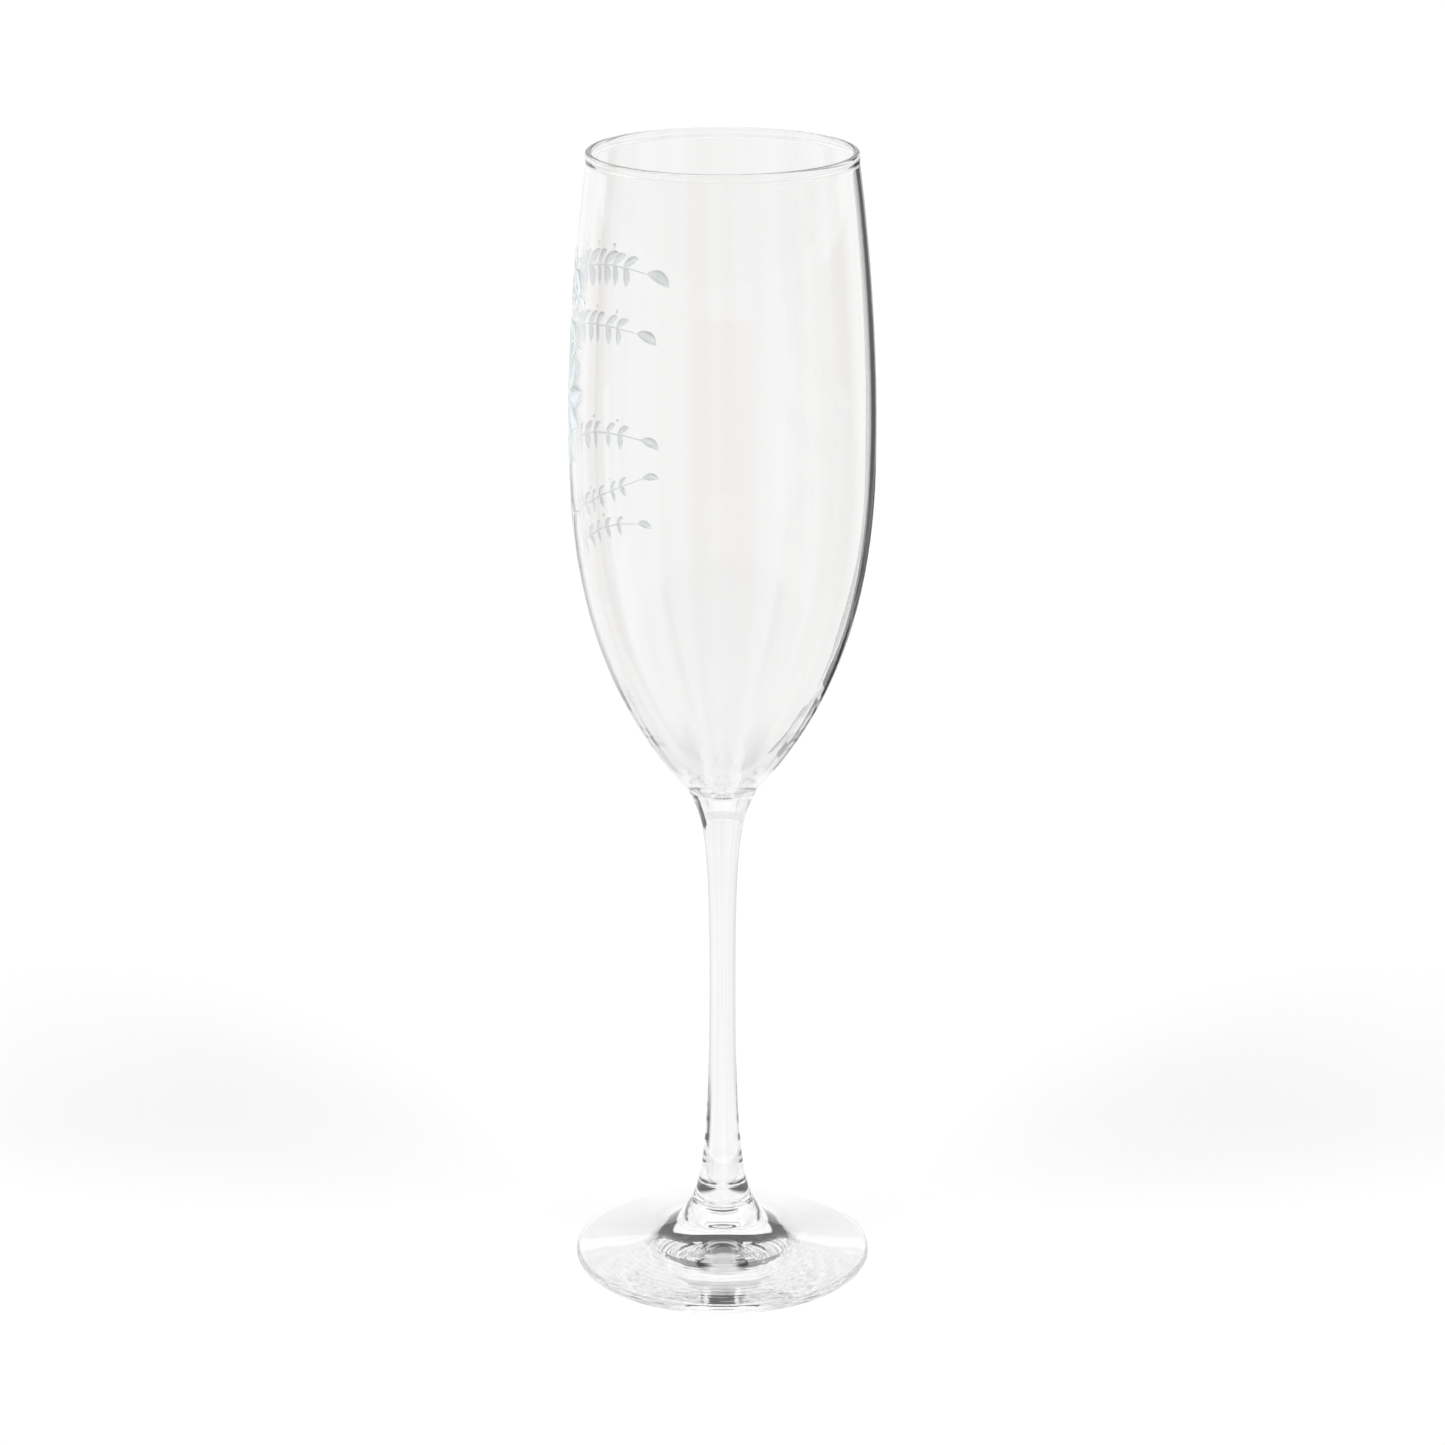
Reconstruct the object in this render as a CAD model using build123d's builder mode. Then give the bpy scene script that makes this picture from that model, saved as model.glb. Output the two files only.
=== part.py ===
from build123d import *
import os
from math import cos, radians, sin

# A stemmed champagne flute: a blown bowl, a pressed stem and a spun foot, fused one on another.
# Millimetres. The Z axis is the axis of the glass, and the origin is the middle of the foot's
# resting plane. Every piece is turned about Z, so each outline is (radius, height) on Plane.XZ.

os.makedirs("parts", exist_ok=True)

# Driving dimensions
total_height = 230.0
seam_height = 102.0        # edge of the weld between bowl and stem
seam_radius = 7.2
seam_sag = 2.6             # how far that weld bulges down into the stem
foot_joint_height = 12.3   # edge of the weld between stem and foot
foot_joint_radius = 6.4
foot_joint_sag = 0.8       # how far that weld bulges down into the foot

# Bowl
belly_radius = 30.0        # outside, at its widest
belly_height = 175.0
bowl_lean = 42.0           # degrees that the outside leans out where it leaves the weld
wall = 1.1                 # from the belly up; the wall thickens below it
lip_radius = 26.33         # outside of the fire-polished roll round the rim
lip_roll = 0.75            # radius of the roll itself
lip_wall_radius = 26.05    # outside of the wall just under the roll
lip_lean = 9.0             # degrees that the wall leans in there
floor_height = 100.8       # lowest point of the inside
floor_round = 5.0          # radius of the bottom of the inside
floor_lean = 48.0          # degrees that the inside leans out where that round ends

# Stem
waist_radius = 2.7         # outside, at its thinnest
waist_height = 59.5
stem_top_lean = 29.0       # degrees that the flare leans out at the bowl
stem_foot_lean = 28.7      # degrees that the flare leans out at the foot

# Foot
foot_radius = 30.2
edge_thickness = 1.9
disc_fall = 8.6            # degrees that the disc still falls at its edge
ring_inner = 24.0          # inside of the flat ring that the glass stands on
hollow_depth = 2.5         # rise of the underside at the axis, inside that ring
hollow_flat = 5.0          # sets how wide the hollow stays level round the axis
hollow_dish = (6.3, 0.05)  # pulls its slope in, so that a steep middle runs out into a shallow dish


def along(point, lean, length):
    """The point a length up from another, on a line that leans out by some degrees."""
    return (point[0] + length * sin(radians(lean)), point[1] + length * cos(radians(lean)))


def cap_radius(radius, sag):
    """The radius of the sphere whose cap has this radius and this height."""
    return (radius**2 + sag**2) / (2 * sag)


# The two welds, each a shallow spherical cap shared by the piece above and the piece below
seam = (seam_radius, seam_height)
seam_middle = (0, seam_height - seam_sag)
seam_cap = cap_radius(seam_radius, seam_sag)
foot_joint = (foot_joint_radius, foot_joint_height)
foot_joint_middle = (0, foot_joint_height - foot_joint_sag)
foot_joint_cap = cap_radius(foot_joint_radius, foot_joint_sag)

# Bowl
lip_centre_height = total_height - lip_roll
belly = (belly_radius, belly_height)
belly_inside = (belly_radius - wall, belly_height)
lip_outside = (lip_wall_radius, lip_centre_height)
lip_inside = (lip_wall_radius - wall, lip_centre_height)
floor_middle = (0, floor_height)
floor_turn = radians(90 - floor_lean)
floor_edge = (floor_round * sin(floor_turn), floor_height + floor_round * (1 - cos(floor_turn)))

with BuildPart() as bowl:
    with BuildSketch(Plane.XZ):
        with BuildLine():
            RadiusArc(seam_middle, seam, -seam_cap)
            Bezier(seam, along(seam, bowl_lean, 34.5), along(belly, 0, -15), belly)
            Bezier(belly, along(belly, 0, 22), along(lip_outside, -lip_lean, -8), lip_outside)
            Line(lip_outside, lip_inside)
            Bezier(
                lip_inside,
                along(lip_inside, -lip_lean, -8),
                along(belly_inside, 0, 22),
                belly_inside,
            )
            Bezier(
                belly_inside,
                along(belly_inside, 0, -14.5),
                along(floor_edge, floor_lean, 34.5),
                floor_edge,
            )
            RadiusArc(floor_edge, floor_middle, floor_round)
            Line(floor_middle, seam_middle)
        make_face()
    revolve(axis=Axis.Z)
    with BuildSketch(Plane.XZ):
        with Locations((lip_radius - lip_roll, lip_centre_height)):
            Circle(lip_roll)
    revolve(axis=Axis.Z)

# Stem
waist = (waist_radius, waist_height)

with BuildPart() as stem:
    with BuildSketch(Plane.XZ):
        with BuildLine():
            RadiusArc(foot_joint_middle, foot_joint, -foot_joint_cap)
            Bezier(
                foot_joint,
                along(foot_joint, -stem_foot_lean, 6.8),
                along(waist, 0, -20.4),
                waist,
            )
            Bezier(waist, along(waist, 0, 31), along(seam, stem_top_lean, -7.6), seam)
            RadiusArc(seam, seam_middle, seam_cap)
            Line(seam_middle, foot_joint_middle)
        make_face()
    revolve(axis=Axis.Z)

# Foot
edge_round = edge_thickness / 2
edge_top = (foot_radius - edge_round, edge_thickness)
edge_middle = (foot_radius, edge_round)
edge_bottom = (foot_radius - edge_round, 0)
hollow_middle = (0, hollow_depth)

with BuildPart() as foot:
    with BuildSketch(Plane.XZ):
        with BuildLine():
            Line(hollow_middle, foot_joint_middle)
            RadiusArc(foot_joint_middle, foot_joint, -foot_joint_cap)
            Bezier(
                foot_joint,
                along(foot_joint, -stem_foot_lean, -9.5),
                along(edge_top, disc_fall - 90, 13),
                edge_top,
            )
            ThreePointArc(edge_top, edge_middle, edge_bottom)
            Line(edge_bottom, (ring_inner, 0))
            Bezier((ring_inner, 0), hollow_dish, along(hollow_middle, 90, hollow_flat), hollow_middle)
        make_face()
    revolve(axis=Axis.Z)

bowl.part.label = "bowl"
stem.part.label = "stem"
foot.part.label = "foot"

export_step(bowl.part, "parts/bowl.step")
export_step(stem.part, "parts/stem.step")
export_step(foot.part, "parts/foot.step")
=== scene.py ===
from math import atan2, cos, exp, hypot, pi, radians, sin, sqrt

import bpy
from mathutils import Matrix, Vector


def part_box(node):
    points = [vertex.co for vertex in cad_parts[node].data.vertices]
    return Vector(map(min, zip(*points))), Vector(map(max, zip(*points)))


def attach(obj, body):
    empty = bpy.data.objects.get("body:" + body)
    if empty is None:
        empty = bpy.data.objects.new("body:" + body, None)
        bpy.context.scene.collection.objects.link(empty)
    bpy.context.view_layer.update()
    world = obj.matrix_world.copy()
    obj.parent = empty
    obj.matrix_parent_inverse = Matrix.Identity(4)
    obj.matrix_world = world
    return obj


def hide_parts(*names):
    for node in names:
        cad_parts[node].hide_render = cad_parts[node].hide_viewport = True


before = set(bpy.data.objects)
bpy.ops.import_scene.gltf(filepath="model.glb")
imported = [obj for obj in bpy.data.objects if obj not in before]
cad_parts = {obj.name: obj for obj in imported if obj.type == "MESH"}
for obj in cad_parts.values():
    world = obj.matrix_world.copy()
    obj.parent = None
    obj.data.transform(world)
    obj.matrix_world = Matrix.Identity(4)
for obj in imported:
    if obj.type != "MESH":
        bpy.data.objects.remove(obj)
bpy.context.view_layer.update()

# Looks of the champagne flute: three pieces of clear glass, fused one on another, and a frosted
# leaf decoration on the bowl. Metres; +Z is the axis of the glass and the foot stands on z = 0.
# Azimuths are in degrees, counted from +X towards +Y.

MM = 0.001
TURN = 2 * pi

# Sizes taken from the frame
bowl_low, bowl_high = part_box("bowl")
stem_low, stem_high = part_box("stem")
foot_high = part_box("foot")[1]
total_height = bowl_high.z
belly_radius = bowl_high.x
seam_height = stem_high.z
seam_radius = stem_high.x
seam_sag = stem_high.z - bowl_low.z
joint_height = foot_high.z
joint_sag = foot_high.z - stem_low.z
foot_radius = foot_high.x

# Sizes that the frame's boxes don't give
joint_radius = 6.4 * MM
belly_height = 175.0 * MM
wall = 1.1 * MM
lip_radius = 26.33 * MM
lip_roll = 0.75 * MM
lip_wall_radius = 26.05 * MM
floor_height = 100.8 * MM
floor_round = 5.0 * MM
waist_radius = 2.7 * MM
waist_height = 59.5 * MM
edge_thickness = 1.9 * MM
ring_inner = 24.0 * MM
hollow_depth = 2.5 * MM
hollow_radius = 6.3 * MM

# Degrees that the outline leans out at the welds, the lip, the cavity's floor and the disc
bowl_lean = 42.0
lip_lean = 9.0
floor_lean = 48.0
stem_top_lean = 29.0
stem_foot_lean = 28.7
disc_fall = 8.6

# Small marks of the making
bowl_waves = ((3, 0.030, 0.4), (5, 0.022, 2.1), (8, 0.014, 4.4), (13, 0.010, 1.2), (21, 0.006, 5.3),
              (34, 0.004, 0.9))      # (waves round the bowl, height in mm, phase)
wave_twist = 9                       # radians to a metre that the waves turn round the bowl
groove_depth = 0.22 * MM             # of the line left round each weld
groove_width = 0.28 * MM
seam_azimuths = (-62, 118)           # where the two mould seams run up the stem
seam_proud = 0.05 * MM
seam_half_width = 0.16 * MM
seam_rough = (1450, 3100)            # radians to a metre of two ripples along each mould seam
spin_rings = ((0.003, 5200, 0), (0.002, 8300, 1.3))    # (height in mm, radians to a metre, phase)
spin_spokes = ((0.006, 23, 300), (0.004, 41, -500))    # (height in mm, number, radians to a metre)


# ---------------------------------------------------------------- outlines, as (radius, height)

def along(point, lean, length):
    """The point a length up from another, on a line that leans out by some degrees."""
    return (point[0] + length * sin(radians(lean)), point[1] + length * cos(radians(lean)))


def bezier(a, b, c, d, steps):
    """Points of a Bezier curve, without its last one."""
    points = []
    for i in range(steps):
        t = i / steps
        u = 1 - t
        weights = (u**3, 3 * u * u * t, 3 * u * t * t, t**3)
        points.append(tuple(sum(w * p[k] for w, p in zip(weights, (a, b, c, d))) for k in (0, 1)))
    return points


def cap(radius, height, sag, steps):
    """Points of a hollow spherical cap from its lowest point on the axis out to its edge."""
    sphere = (radius**2 + sag**2) / (2 * sag)
    radii = [radius * i / steps for i in range(steps)]
    return [(r, height - (sqrt(sphere**2 - r**2) - (sphere - sag))) for r in radii]


def arc(centre, radius, start, end, steps):
    """Points of a circular arc between two angles in degrees from outward, without its last one."""
    angles = [radians(start + (end - start) * i / steps) for i in range(steps)]
    return [(centre[0] + radius * cos(a), centre[1] + radius * sin(a)) for a in angles]


def bowl_outside():
    """The outside of the bowl's wall, from the weld to the lip."""
    seam = (seam_radius, seam_height)
    belly = (belly_radius, belly_height)
    lip = (lip_wall_radius, total_height - lip_roll)
    outside = bezier(seam, along(seam, bowl_lean, 34.5 * MM), along(belly, 0, -15 * MM), belly, 90)
    return outside + bezier(belly, along(belly, 0, 22 * MM), along(lip, -lip_lean, -8 * MM), lip, 50)


def bowl_outline():
    """The bowl from under its weld, up the outside, over the lip and down the inside."""
    lip_height = total_height - lip_roll
    lip_inside = (lip_wall_radius - wall, lip_height)
    belly_inside = (belly_radius - wall, belly_height)
    turn = radians(90 - floor_lean)
    floor_edge = (floor_round * sin(turn), floor_height + floor_round * (1 - cos(turn)))
    weld = cap(seam_radius, seam_height, seam_sag, 14)
    top = (lip_radius, lip_height)
    inner_top = (lip_radius - 2 * lip_roll, lip_height)
    neck = [p for p in bowl_outside() if p[1] < lip_height - 2 * lip_roll]
    outside = neck + bezier(
        neck[-1], along(neck[-1], -lip_lean, lip_roll), along(top, 0, -lip_roll), top, 8)[1:]
    outside += arc((lip_radius - lip_roll, lip_height), lip_roll, 0, 180, 20)
    inside = bezier(
        lip_inside, along(lip_inside, -lip_lean, -8 * MM), along(belly_inside, 0, 22 * MM),
        belly_inside, 50)
    throat = [p for p in inside if p[1] < lip_height - 2 * lip_roll]
    inside = bezier(
        inner_top, along(inner_top, 0, -lip_roll), along(throat[0], -lip_lean, lip_roll), throat[0], 8)
    inside += throat
    inside += bezier(
        belly_inside, along(belly_inside, 0, -14.5 * MM), along(floor_edge, floor_lean, 34.5 * MM),
        floor_edge, 90)
    inside += arc((0, floor_height + floor_round), floor_round, -floor_lean, -90, 18)
    inside.append((0, floor_height))
    return weld, outside + inside


def stem_outline():
    """The stem from under its foot weld, up the outside and back to the axis over the bowl weld."""
    joint = (joint_radius, joint_height)
    waist = (waist_radius, waist_height)
    seam = (seam_radius, seam_height)
    lower = cap(joint_radius, joint_height, joint_sag, 14)
    side = bezier(joint, along(joint, -stem_foot_lean, 6.8 * MM), along(waist, 0, -20.4 * MM), waist, 100)
    side += bezier(waist, along(waist, 0, 31 * MM), along(seam, stem_top_lean, -7.6 * MM), seam, 100)
    upper = [seam] + cap(seam_radius, seam_height, seam_sag, 14)[::-1]
    return lower, side, upper


def foot_outline():
    """The foot from the middle of its hollow, round the edge, up the boss and to the axis."""
    joint = (joint_radius, joint_height)
    roll = edge_thickness / 2
    edge_top = (foot_radius - roll, edge_thickness)
    middle = (0, hollow_depth)
    flat = foot_radius - roll - ring_inner
    hollow = bezier(middle, along(middle, 90, 5 * MM), (hollow_radius, 0.05 * MM), (ring_inner, 0), 70)
    ring = [(ring_inner + flat * i / 12, 0) for i in range(12)]
    rim = arc((foot_radius - roll, roll), roll, -90, 90, 20)
    top = bezier(
        edge_top, along(edge_top, disc_fall - 90, 13 * MM), along(joint, -stem_foot_lean, -9.5 * MM),
        joint, 120)
    upper = [joint] + cap(joint_radius, joint_height, joint_sag, 14)[::-1]
    return hollow + ring + rim + top, upper


# ---------------------------------------------------------------- marks of the making

def near(value, centre, half_width):
    """1 at a centre, falling off smoothly on both sides of it."""
    return exp(-((value - centre) / half_width)**2)


def between(value, low, rise, high, fall):
    """1 between low and high, fading to 0 at both over the rise and the fall."""
    return min(1, max(0, (value - low) / rise), max(0, (high - value) / fall))


def bowl_marks(radius, height, angle):
    """Slow waves round the blown wall, fading to the lip and the weld, and a line round the weld."""
    fade = between(height, seam_height, 30 * MM, total_height, 6 * MM)
    twist = wave_twist * (height - belly_height)
    waves = sum(size * MM * sin(count * angle + phase + twist) for count, size, phase in bowl_waves)
    return fade * waves - groove_depth * near(height, seam_height + 0.5 * MM, groove_width)


def stem_marks(radius, height, angle):
    """Two mould seams, proud and a little uneven, and a line round each weld."""
    proud = 0
    for azimuth in seam_azimuths:
        off = (angle - radians(azimuth) + pi) % TURN - pi
        rough = 0.55 + 0.45 * sin(height * seam_rough[0] + azimuth) * sin(height * seam_rough[1])
        proud += seam_proud * rough * near(radius * off, 0, seam_half_width)
    proud *= between(height, 16 * MM, 6 * MM, seam_height - 2 * MM, 4 * MM)
    welds = near(height, joint_height + 0.4 * MM, groove_width)
    welds += near(height, seam_height - 0.5 * MM, groove_width)
    return proud - 0.6 * groove_depth * welds


def foot_marks(radius, height, angle):
    """Fine rings and faint spokes left by the spinning, on the disc outside the boss."""
    if height < edge_thickness:
        return 0
    fade = between(radius, 11 * MM, 5 * MM, foot_radius - 0.5 * MM, 2 * MM)
    rings = sum(size * sin(radius * rate + phase) for size, rate, phase in spin_rings)
    spokes = sum(size * sin(count * angle + radius * rate) for size, count, rate in spin_spokes)
    return fade * (rings + spokes) * MM


def turned(name, spans, segments, materials, marks, upright=False):
    """A closed solid turned about Z. spans are (points, material index), from the axis back to the
    axis. marks(radius, height, angle) is a small change of radius, or of height if upright."""
    outline = [(p, slot) for points, slot in spans for p in points]
    vertices = []
    rings = []
    for (r, z), slot in outline:
        if r == 0:
            rings.append([len(vertices)])
            vertices.append((0, 0, z))
            continue
        rings.append(list(range(len(vertices), len(vertices) + segments)))
        for j in range(segments):
            angle = TURN * j / segments
            change = 0 if slot else marks(r, z, angle)
            out, up = (0, change) if upright else (change, 0)
            vertices.append(((r + out) * cos(angle), (r + out) * sin(angle), z + up))
    faces = []
    slots = []
    for i in range(len(rings) - 1):
        low, high = rings[i], rings[i + 1]
        for j in range(segments):
            k = (j + 1) % segments
            if len(low) == 1:
                faces.append((low[0], high[k], high[j]))
            elif len(high) == 1:
                faces.append((low[j], low[k], high[0]))
            else:
                faces.append((low[j], low[k], high[k], high[j]))
            slots.append(outline[i][1])
    obj = solid(name, vertices, faces, materials)
    obj.data.polygons.foreach_set("material_index", slots)
    obj.data.set_sharp_from_angle(angle=radians(30))
    return obj


def solid(name, vertices, faces, materials):
    """A smooth-shaded object made of these vertices and faces."""
    mesh = bpy.data.meshes.new(name)
    mesh.from_pydata(vertices, [], faces)
    for material in materials:
        mesh.materials.append(material)
    mesh.polygons.foreach_set("use_smooth", [True] * len(faces))
    mesh.update()
    obj = bpy.data.objects.new(name, mesh)
    bpy.context.scene.collection.objects.link(obj)
    return obj


# ---------------------------------------------------------------- materials

def node(tree, kind, inputs=(), **settings):
    """A shader node with its settings, its inputs given in order as sockets or values."""
    made = tree.nodes.new("ShaderNode" + kind)
    for key, value in settings.items():
        setattr(made, key, value)
    for socket, value in zip(made.inputs, inputs):
        if isinstance(value, bpy.types.NodeSocket):
            tree.links.new(value, socket)
        elif value is not None:
            socket.default_value = value
    return made


def edge(tree, value, low, high):
    """0 below low and 1 above high, smooth between them."""
    return node(
        tree, "MapRange", (value, low, high, 0.0, 1.0), interpolation_type="SMOOTHSTEP").outputs[0]


def principled(name, **values):
    """A Principled material, with its sockets set by name, such as Base_Color."""
    material = bpy.data.materials.new(name)
    material.use_nodes = True
    shader = material.node_tree.nodes["Principled BSDF"]
    for key, value in values.items():
        shader.inputs[key.replace("_", " ")].default_value = value
    return material


def noise(tree, stretch, detail=2.0):
    """Noise on the object's own coordinates, stretched by a scale for each axis."""
    place = node(tree, "TexCoord").outputs["Object"]
    scaled = node(tree, "VectorMath", (place, stretch), operation="MULTIPLY").outputs[0]
    return node(tree, "TexNoise", (scaled, None, 1.0, detail)).outputs["Fac"]


def striae(tree, count, drift):
    """Noise that runs in streaks up the glass, count features to a radian, drifting with height."""
    split = node(tree, "SeparateXYZ", (node(tree, "TexCoord").outputs["Object"],))
    level = node(tree, "CombineXYZ", (split.outputs["X"], split.outputs["Y"], 0.0)).outputs[0]
    level = node(tree, "VectorMath", (level,), operation="NORMALIZE").outputs[0]
    level = node(tree, "VectorMath", (level, (count, count, 0)), operation="MULTIPLY").outputs[0]
    rise = node(tree, "Math", (split.outputs["Z"], drift), operation="MULTIPLY").outputs[0]
    rise = node(tree, "CombineXYZ", (0.0, 0.0, rise)).outputs[0]
    place = node(tree, "VectorMath", (level, rise), operation="ADD").outputs[0]
    return node(tree, "TexNoise", (place, None, 1.0, 2.5)).outputs["Fac"]


def glass(name, layers, streaks, faint):
    """Clear glass with faint waves, (scale for each axis, height in metres), and with streaks
    (count, drift) of slightly different clearness, down to faint."""
    material = principled(
        name, Roughness=0.0, IOR=1.52, Transmission_Weight=1.0)
    tree = material.node_tree
    shader = tree.nodes["Principled BSDF"]
    normal = None
    for stretch, height in layers:
        normal = node(tree, "Bump", (1.0, height, 1.0, noise(tree, stretch), normal)).outputs[0]
    tree.links.new(normal, shader.inputs["Normal"])
    ramp = node(tree, "ValToRGB", (striae(tree, *streaks),))
    dull, bright = ramp.color_ramp.elements
    dull.position, dull.color = 0.34, (*faint, 1)
    bright.position, bright.color = 0.66, (0.992, 0.992, 0.992, 1)
    tree.links.new(ramp.outputs["Color"], shader.inputs["Base Color"])
    return material


def etched_glass():
    """Frosted lines: pale grey with a bluish speckle."""
    material = principled(
        "etched_lines", Roughness=0.55, IOR=1.45, Transmission_Weight=0.45)
    tree = material.node_tree
    speckle = noise(tree, (5200, 5200, 5200), 1.0)
    ramp = node(tree, "ValToRGB", (speckle,))
    dark, pale = ramp.color_ramp.elements
    dark.position, dark.color = 0.38, (0.66, 0.71, 0.73, 1)
    pale.position, pale.color = 0.60, (0.95, 0.97, 0.98, 1)
    tree.links.new(ramp.outputs["Color"], tree.nodes["Principled BSDF"].inputs["Base Color"])
    grain = node(tree, "Bump", (0.4, 0.02 * MM, 1.0, speckle)).outputs[0]
    tree.links.new(grain, tree.nodes["Principled BSDF"].inputs["Normal"])
    return material


blown = glass(
    "blown_glass", [((55, 55, 3.5), 0.04 * MM), ((150, 150, 8), 0.006 * MM)], (5.0, 3.0),
    (0.965, 0.96, 0.955))
pressed = glass("pressed_glass", [((240, 240, 60), 0.006 * MM)], (4.0, 12.0), (0.90, 0.895, 0.89))
spun = glass("spun_glass", [((220, 220, 220), 0.008 * MM)], (5.0, 40.0), (0.98, 0.98, 0.98))
weld = principled("fused_weld", Base_Color=(1, 1, 1, 1), Roughness=0.0, IOR=1.0, Transmission_Weight=1.0)

# ---------------------------------------------------------------- pieces

bowl_weld, bowl_wall = bowl_outline()
bowl = turned("blown_bowl", [(bowl_weld, 1), (bowl_wall, 0)], 288, [blown, weld], bowl_marks)
stem_weld, stem_side, stem_top = stem_outline()
stem = turned(
    "pressed_stem", [(stem_weld, 1), (stem_side, 0), (stem_top, 1)], 192, [pressed, weld], stem_marks)
foot_body, foot_top = foot_outline()
foot = turned(
    "spun_foot", [(foot_body, 0), (foot_top, 1)], 288, [spun, weld], foot_marks, upright=True)

for piece, name in ((bowl, "bowl"), (stem, "stem"), (foot, "foot")):
    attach(piece, "root")
    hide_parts(name)

# ---------------------------------------------------------------- leaf decoration

wall_points = bowl_outside()
etched_vertices = []
etched_faces = []


def wall_at(height):
    """The wall's outside radius at a height."""
    for (r0, z0), (r1, z1) in zip(wall_points, wall_points[1:]):
        if z0 <= height <= z1:
            return r0 + (r1 - r0) * (height - z0) / (z1 - z0)


def on_wall(across, height, proud):
    """A point on the bowl: across is measured round the belly from azimuth zero."""
    angle = across / belly_radius
    radius = wall_at(height) + bowl_marks(belly_radius, height, angle) + proud
    return (radius * cos(angle), radius * sin(angle), height)


def stroke(points, half_widths):
    """A thin closed ribbon on the wall, along points (across, height), with its half widths."""
    start = len(etched_vertices)
    last = len(points) - 1
    for i, (s, z) in enumerate(points):
        before, after = points[max(i - 1, 0)], points[min(i + 1, last)]
        ds, dz = after[0] - before[0], after[1] - before[1]
        length = hypot(ds, dz)
        for proud in (0.015 * MM, 0.05 * MM):
            for side in (-1, 0, 1):
                reach = side * half_widths[i] / length
                etched_vertices.append(on_wall(s - reach * dz, z + reach * ds, proud))
    around = (0, 1, 2, 5, 4, 3)
    for i in range(last):
        a, b = start + 6 * i, start + 6 * (i + 1)
        for k in range(6):
            m, n = around[k], around[(k + 1) % 6]
            etched_faces.append((a + m, a + n, b + n, b + m))
    for end, order in ((start, around[::-1]), (start + 6 * last, around)):
        etched_faces.append(tuple(end + k for k in order))


def leaf(s, z, heading, length, width):
    """A pointed leaf that starts at a point on the wall and heads some radians from across."""
    steps = 12
    points = []
    widths = []
    for i in range(steps + 1):
        t = i / steps
        bend = heading + 0.5 * (t - 0.5)
        points.append((s + length * t * cos(bend), z + length * t * sin(bend)))
        widths.append(width / 2 * max(sin(pi * t)**0.8, 0.04))
    stroke(points, widths)


def dot(s, z, radius):
    """A round spot at a point on the wall."""
    steps = 10
    turns = [pi * (0.04 + 0.92 * i / steps) for i in range(steps + 1)]
    stroke([(s - radius * cos(a), z) for a in turns], [radius * sin(a) for a in turns])


def branch(start, end, rise, leaves, size, line=0.28 * MM):
    """A bowed stalk between two (azimuth, height), with leaves in pairs that shrink to its end."""
    steps = 48
    path = []
    for i in range(steps + 1):
        t = i / steps
        azimuth = start[0] + (end[0] - start[0]) * t
        height = start[1] + (end[1] - start[1]) * t + rise * sin(pi * t)
        path.append((radians(azimuth) * belly_radius, height))
    stroke(path, [line * (1 - 0.6 * i / steps) for i in range(steps + 1)])
    for i in range(leaves):
        k = 3 + round((steps - 6) * i / leaves)
        (s0, z0), (s1, z1) = path[k], path[k + 2]
        heading = atan2(z1 - z0, s1 - s0)
        scale = size * (1 - 0.35 * i / leaves)
        for side in (-1, 1):
            leaf(s0, z0, heading + side * 0.85, scale, 0.42 * scale)
        if i % 2:
            dot(s0, z0 + 0.9 * scale, 0.12 * scale)
    leaf(*path[-1], atan2(path[-1][1] - path[-3][1], path[-1][0] - path[-3][0]), size, 0.4 * size)


def flower(azimuth, height, petals, size):
    """A ring of petals round a dot."""
    s = radians(azimuth) * belly_radius
    for i in range(petals):
        heading = TURN * i / petals
        leaf(s + 0.22 * size * cos(heading), height + 0.22 * size * sin(heading), heading, size, 0.5 * size)
    dot(s, height, 0.17 * size)


branch((205, 203 * MM), (122, 201 * MM), 4 * MM, 11, 6.2 * MM)
branch((203, 194 * MM), (126, 189 * MM), 3 * MM, 10, 5.4 * MM)
flower(186, 184 * MM, 9, 8.5 * MM)
branch((196, 171 * MM), (124, 167 * MM), 3 * MM, 8, 4.6 * MM)
branch((198, 161 * MM), (124, 159 * MM), -2 * MM, 9, 3.8 * MM)
branch((192, 149 * MM), (128, 150 * MM), 2 * MM, 7, 3.6 * MM)

sprig = solid("etched_sprig", etched_vertices, etched_faces, [etched_glass()])
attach(sprig, "root")

# ---------------------------------------------------------------- floor, cards and a painted shadow

def stage_piece(name, vertices, faces, material):
    """A flat piece of the studio, which is no part of the glass."""
    mesh = bpy.data.meshes.new(name)
    mesh.from_pydata(vertices, [], faces)
    mesh.materials.append(material)
    obj = bpy.data.objects.new(name, mesh)
    bpy.context.scene.collection.objects.link(obj)
    return obj


def card(name, vertices, faces, material):
    """A studio card that shows only in the glass."""
    obj = stage_piece(name, vertices, faces, material)
    obj.visible_camera = False
    obj.visible_diffuse = False
    obj.visible_shadow = False


def ring_strip(corners):
    """Vertices and faces of a strip, from pairs of points."""
    vertices = [p for pair in corners for p in pair]
    faces = [(2 * i, 2 * i + 1, 2 * i + 3, 2 * i + 2) for i in range(len(corners) - 1)]
    return vertices, faces


def lying_card(name, start, end, inner, outer, material, height=0.4 * MM):
    """A card on the floor, between two azimuths and two distances from the axis."""
    angles = [radians(start + (end - start) * i / 96) for i in range(97)]
    corners = [[(r * cos(a), r * sin(a), height) for r in (inner, outer)] for a in angles]
    card(name, *ring_strip(corners), material)


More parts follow.
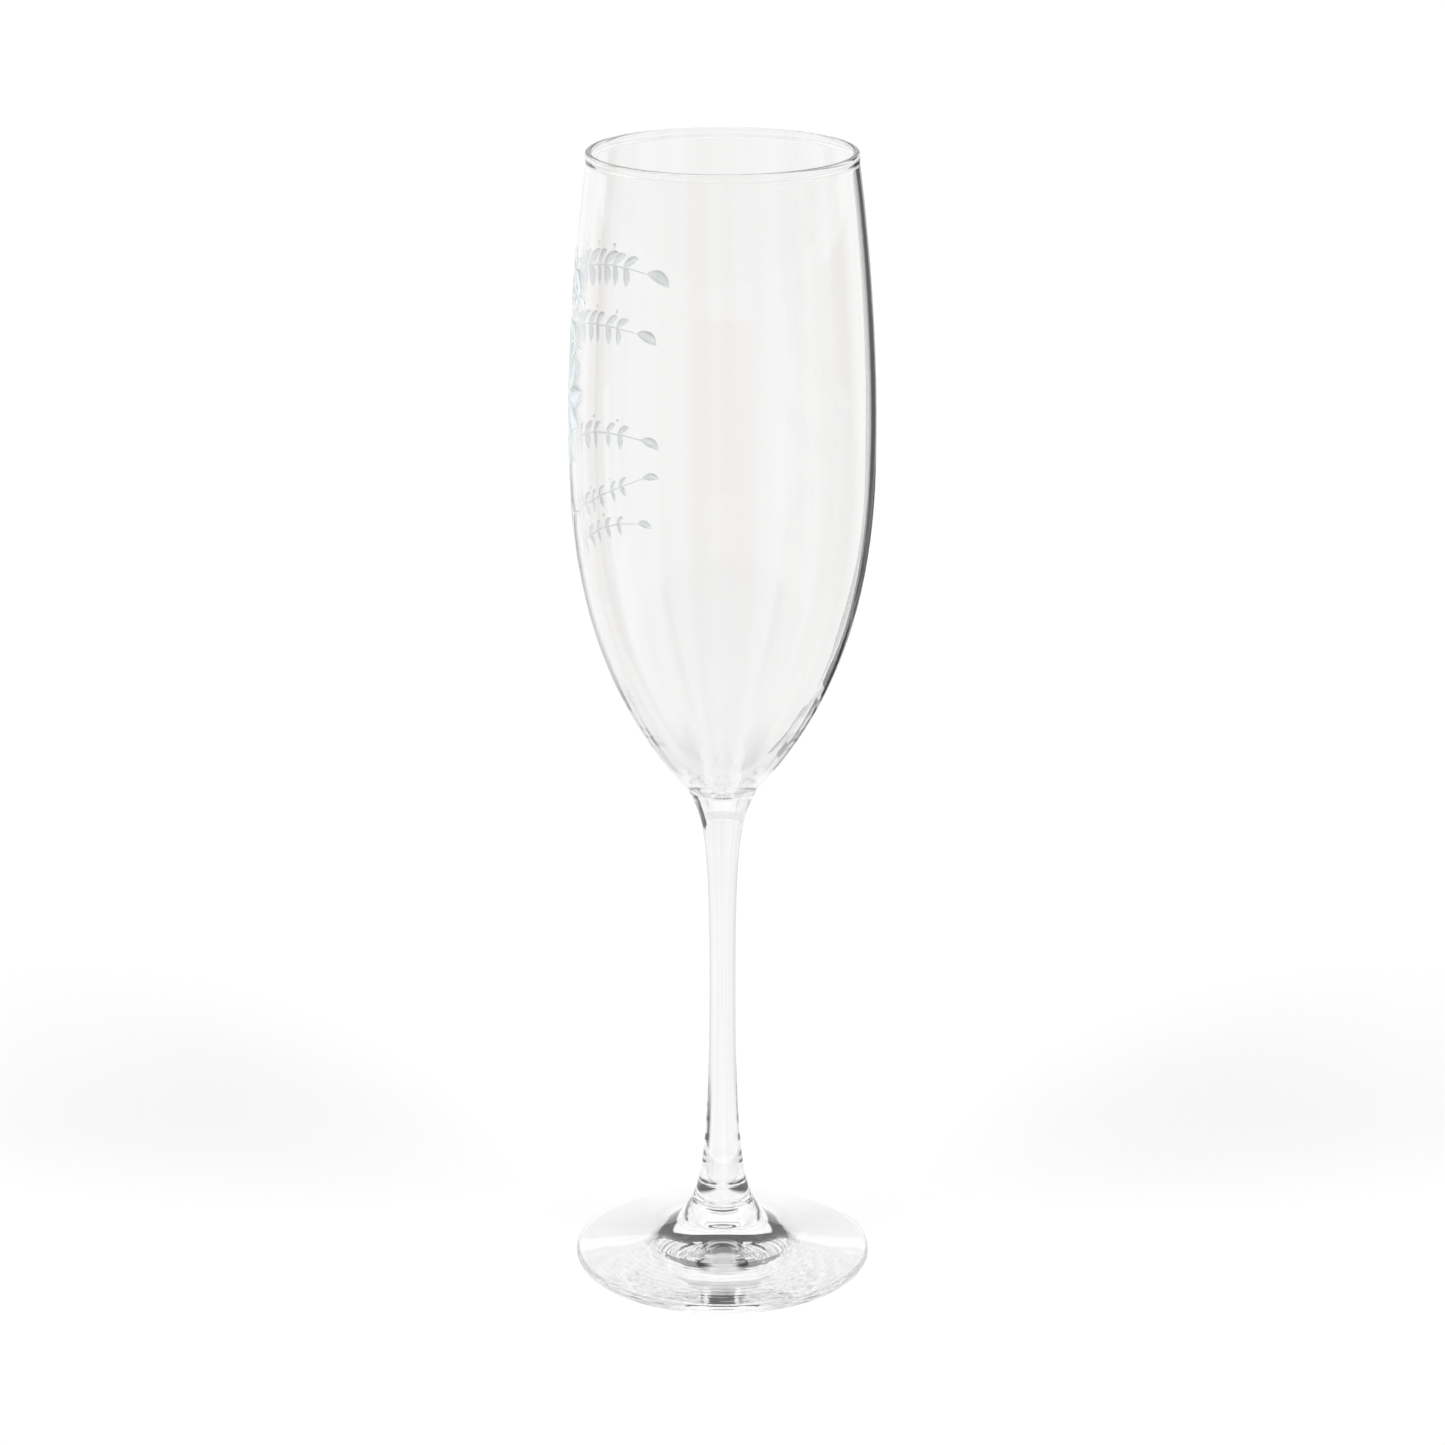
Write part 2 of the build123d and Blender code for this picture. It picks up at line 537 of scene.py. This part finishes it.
def leaning_card(name, start, end, first, second, material):
    """A curved card between two azimuths, and between two (distance, height)."""
    angles = [radians(start + (end - start) * i / 24) for i in range(25)]
    corners = [[(r * cos(a), r * sin(a), z) for r, z in (first, second)] for a in angles]
    card(name, *ring_strip(corners), material)


def outline_card(name, lowest, highest, distance, material):
    """A card that follows the right-hand outline of the bowl between two heights, and stands where
    the glass at that outline bends the camera's view to."""
    outline = [p for p in bowl_outside() if lowest < p[1] < highest]
    corners = []
    for (radius, height), (above, higher) in zip(outline, outline[1:]):
        fall = (camera_height - height) / camera_distance
        lean = atan2(above - radius, higher - height)
        corners.append([])
        for bend in (radians(10) + 0.35 * abs(lean), radians(38)):
            aside = distance * sin(bend)
            along_view = distance * cos(bend)
            corners[-1].append((
                radius + aside * cos(lean), along_view, height - fall * along_view - aside * sin(lean)))
    card(name, *ring_strip(corners), material)


def glow(name, colour):
    """An even surface that gives back one colour whatever falls on it."""
    return principled(
        name, Base_Color=(0, 0, 0, 1), Specular_IOR_Level=0.0, Emission_Color=(*colour, 1),
        Emission_Strength=1.0)


def glow_round(name, rings):
    """A glow whose tone changes round the axis and with distance from it. rings are (distance, tones),
    nearest first, and tones are (azimuth, brightness, warmth) in rising order."""
    material = glow(name, (1, 1, 1))
    tree = material.node_tree
    place = node(tree, "TexCoord").outputs["Object"]
    split = node(tree, "SeparateXYZ", (place,))
    angle = node(tree, "Math", (split.outputs["Y"], split.outputs["X"]), operation="ARCTAN2").outputs[0]
    part = node(tree, "Math", (angle, TURN), operation="DIVIDE").outputs[0]
    part = node(tree, "Math", (part,), operation="FRACT").outputs[0]
    away = node(tree, "VectorMath", (place,), operation="LENGTH").outputs["Value"]
    colour = None
    for i, (distance, tones) in enumerate(rings):
        ramp = node(tree, "ValToRGB", (part,))
        elements = ramp.color_ramp.elements
        elements.remove(elements[1])
        for j, (azimuth, level, warmth) in enumerate((*tones, (359.9, *tones[0][1:]))):
            element = elements.new(azimuth / 360) if j else elements[0]
            element.position = azimuth / 360
            element.color = (level, level * (1 - 0.10 * warmth), level * (1 - 0.18 * warmth), 1)
        tone = ramp.outputs["Color"]
        if colour:
            blend = edge(tree, away, rings[i - 1][0], distance)
            tone = node(tree, "MixRGB", (blend, colour, tone)).outputs["Color"]
        colour = tone
    tree.links.new(colour, tree.nodes["Principled BSDF"].inputs["Emission Color"])
    return material


camera_distance = 3.42298 * total_height
camera_height = 1.61363 * total_height
camera_tilt = 17.9967      # degrees that it looks down
floor_reach = 6.0
floor_gap = 0.05 * MM      # keeps the floor and the flat ring under the foot from sharing one plane
white_floor = principled(
    "floor_white", Base_Color=(0.9, 0.9, 0.9, 1), Roughness=1.0, Specular_IOR_Level=0.0)
corners = [(x * floor_reach, y * floor_reach, -floor_gap) for x, y in ((-1, -1), (1, -1), (1, 1), (-1, 1))]
floor = stage_piece("floor", corners, [(0, 1, 2, 3)], white_floor)

dark = glow("dark_card", (0.11, 0.11, 0.115))
surroundings = glow_round("surroundings", (
    (0.045, ((0, 0.10, 0), (44, 0.10, 0), (56, 1.0, 0), (146, 1.0, 0), (156, 0.10, 0), (200, 0.10, 0),
             (215, 1.0, 0), (325, 1.0, 0), (340, 0.10, 0))),
    (0.090, ((0, 0.95, 0), (20, 0.75, 0), (32, 0.78, 0), (44, 0.97, 0), (66, 0.98, 0), (90, 1.0, 0),
             (114, 0.98, 0), (128, 0.95, 0), (146, 0.78, 0), (158, 0.75, 0), (168, 0.95, 0),
             (215, 1.0, 0), (325, 1.0, 0), (345, 0.95, 0))),
    (0.440, ((0, 0.60, 0.2), (18, 0.55, 0.2), (28, 0.9, 0), (36, 1.0, 0), (64, 0.94, 0), (78, 1.0, 0),
             (90, 0.93, 0), (101, 1.0, 0), (128, 0.96, 0), (146, 1.0, 0), (152, 0.65, 1), (161, 0.65, 1),
             (168, 1.0, 0), (245, 1.0, 0), (262, 0.75, 1), (285, 0.78, 1), (298, 1.0, 0), (345, 1.0, 0)))))
# Painted shadow under the boss: a ring on the floor beneath the foot's hollow, dark to the sides and white
# towards the front and back. It shows only through the glass.
painted_shadow_lobes = glow_round("painted_shadow_lobes", (
    (11.5 * MM, ((0, 0.11, 0), (64, 0.11, 0), (76, 1.0, 0), (104, 1.0, 0), (116, 0.11, 0), (244, 0.11, 0),
                 (256, 1.0, 0), (284, 1.0, 0), (296, 0.11, 0))),))
lying_card("shade_under_boss", 0, 360, 4.4 * MM, 11.5 * MM, painted_shadow_lobes, -floor_gap / 2)
lying_card("card_round", 0, 360, 0.034, 3.0, surroundings)
white = glow("white_card", (0.97, 0.97, 0.97))
outline_card("card_edge_right", 118 * MM, total_height, 60 * MM, dark)
outline_card("card_low_edge_right", 104 * MM, 119 * MM, 20 * MM, dark)
collar_low = (100 * MM, 108 * MM)
collar_high = (100 * MM, 150 * MM)
leaning_card("card_collar_right", 25, 70, collar_low, collar_high, white)
leaning_card("card_collar_left", 110, 155, collar_low, collar_high, white)

# ---------------------------------------------------------------- light and camera

dark_wall = 0.13
horizon = 0.9
panels = (
    (90, 20, 5, 26, 1.05), (0, 28, 5, 50, 0.65), (180, 28, 5, 50, 0.65),
    (270, 50, 5, 50, 0.6))      # (azimuth, half width, lowest, highest, strength)
sun_azimuths = (("right", -33), ("left", -147))
sun_elevation = 47
sun_strength = 0.87
sun_spread = 28


def maths(tree, operation, *inputs):
    """What a sum or a comparison of these inputs gives."""
    return node(tree, "Math", inputs, operation=operation).outputs[0]


def studio_world():
    """A white band along the horizon, grey walls above it and bright panels on them."""
    world = bpy.data.worlds.new("studio")
    world.use_nodes = True
    tree = world.node_tree
    direction = node(tree, "TexCoord").outputs["Generated"]
    split = node(tree, "SeparateXYZ", (direction,))
    height = split.outputs["Z"]
    level = node(tree, "CombineXYZ", (split.outputs["X"], split.outputs["Y"], 0.0)).outputs[0]
    level = node(tree, "VectorMath", (level,), operation="NORMALIZE").outputs[0]

    def under(degrees, soft):
        """1 below an elevation and 0 above it."""
        high = edge(tree, height, sin(radians(degrees - soft)), sin(radians(degrees + soft)))
        return maths(tree, "SUBTRACT", 1.0, high)

    light = maths(tree, "MAXIMUM", maths(tree, "MULTIPLY", under(10, 2), horizon), dark_wall)
    for azimuth, half, lowest, highest, strength in panels:
        toward = (cos(radians(azimuth)), sin(radians(azimuth)), 0.0)
        facing = node(tree, "VectorMath", (level, toward), operation="DOT_PRODUCT").outputs["Value"]
        panel = edge(tree, facing, cos(radians(half + 3)), cos(radians(half)))
        panel = maths(tree, "MULTIPLY", panel, under(highest, 1))
        panel = maths(tree, "MULTIPLY", panel, maths(tree, "SUBTRACT", 1.0, under(lowest, 1)))
        light = maths(tree, "MAXIMUM", light, maths(tree, "MULTIPLY", panel, strength))
    tree.links.new(light, tree.nodes["Background"].inputs["Color"])
    bpy.context.scene.world = world


def sun(name, azimuth, elevation, strength, spread, lit, blockers):
    """A soft light that shines from an azimuth and an elevation, in degrees, on the lit objects.
    Only the blockers throw its shadow."""
    data = bpy.data.lights.new(name, "SUN")
    data.energy = strength
    data.angle = radians(spread)
    lamp = bpy.data.objects.new(name, data)
    lamp.rotation_euler = (radians(90 - elevation), 0, radians(azimuth + 90))
    bpy.context.scene.collection.objects.link(lamp)
    lamp.light_linking.receiver_collection = lit
    lamp.light_linking.blocker_collection = blockers


def group(name, objects):
    """A collection of objects that a light lights, or that throw its shadow."""
    made = bpy.data.collections.new(name)
    for obj in objects:
        made.objects.link(obj)
    return made


studio_world()
lit = group("lit_by_soft_light", (floor, sprig))
clear_way = group("no_shadow_of_glass", (floor,))
with_glass = group("shadow_of_glass", (floor, bowl, stem))
for side, azimuth in sun_azimuths:
    sun("soft_light_" + side, azimuth, sun_elevation, sun_strength, sun_spread, lit, clear_way)
    sun("shadow_light_" + side, azimuth, sun_elevation, sun_strength, sun_spread, lit, with_glass)

camera_data = bpy.data.cameras.new("camera")
camera = bpy.data.objects.new("camera", camera_data)
bpy.context.scene.collection.objects.link(camera)
camera_data.lens = 103.67
camera_data.sensor_width = 36
camera.location = (0, -camera_distance, camera_height)
camera.rotation_euler = (radians(90 - camera_tilt), 0, 0)

scene = bpy.context.scene
scene.camera = camera
scene.view_settings.view_transform = "Standard"
bounces = 32
scene.cycles.max_bounces = bounces
scene.cycles.transmission_bounces = bounces
scene.cycles.glossy_bounces = bounces
scene.cycles.blur_glossy = 0
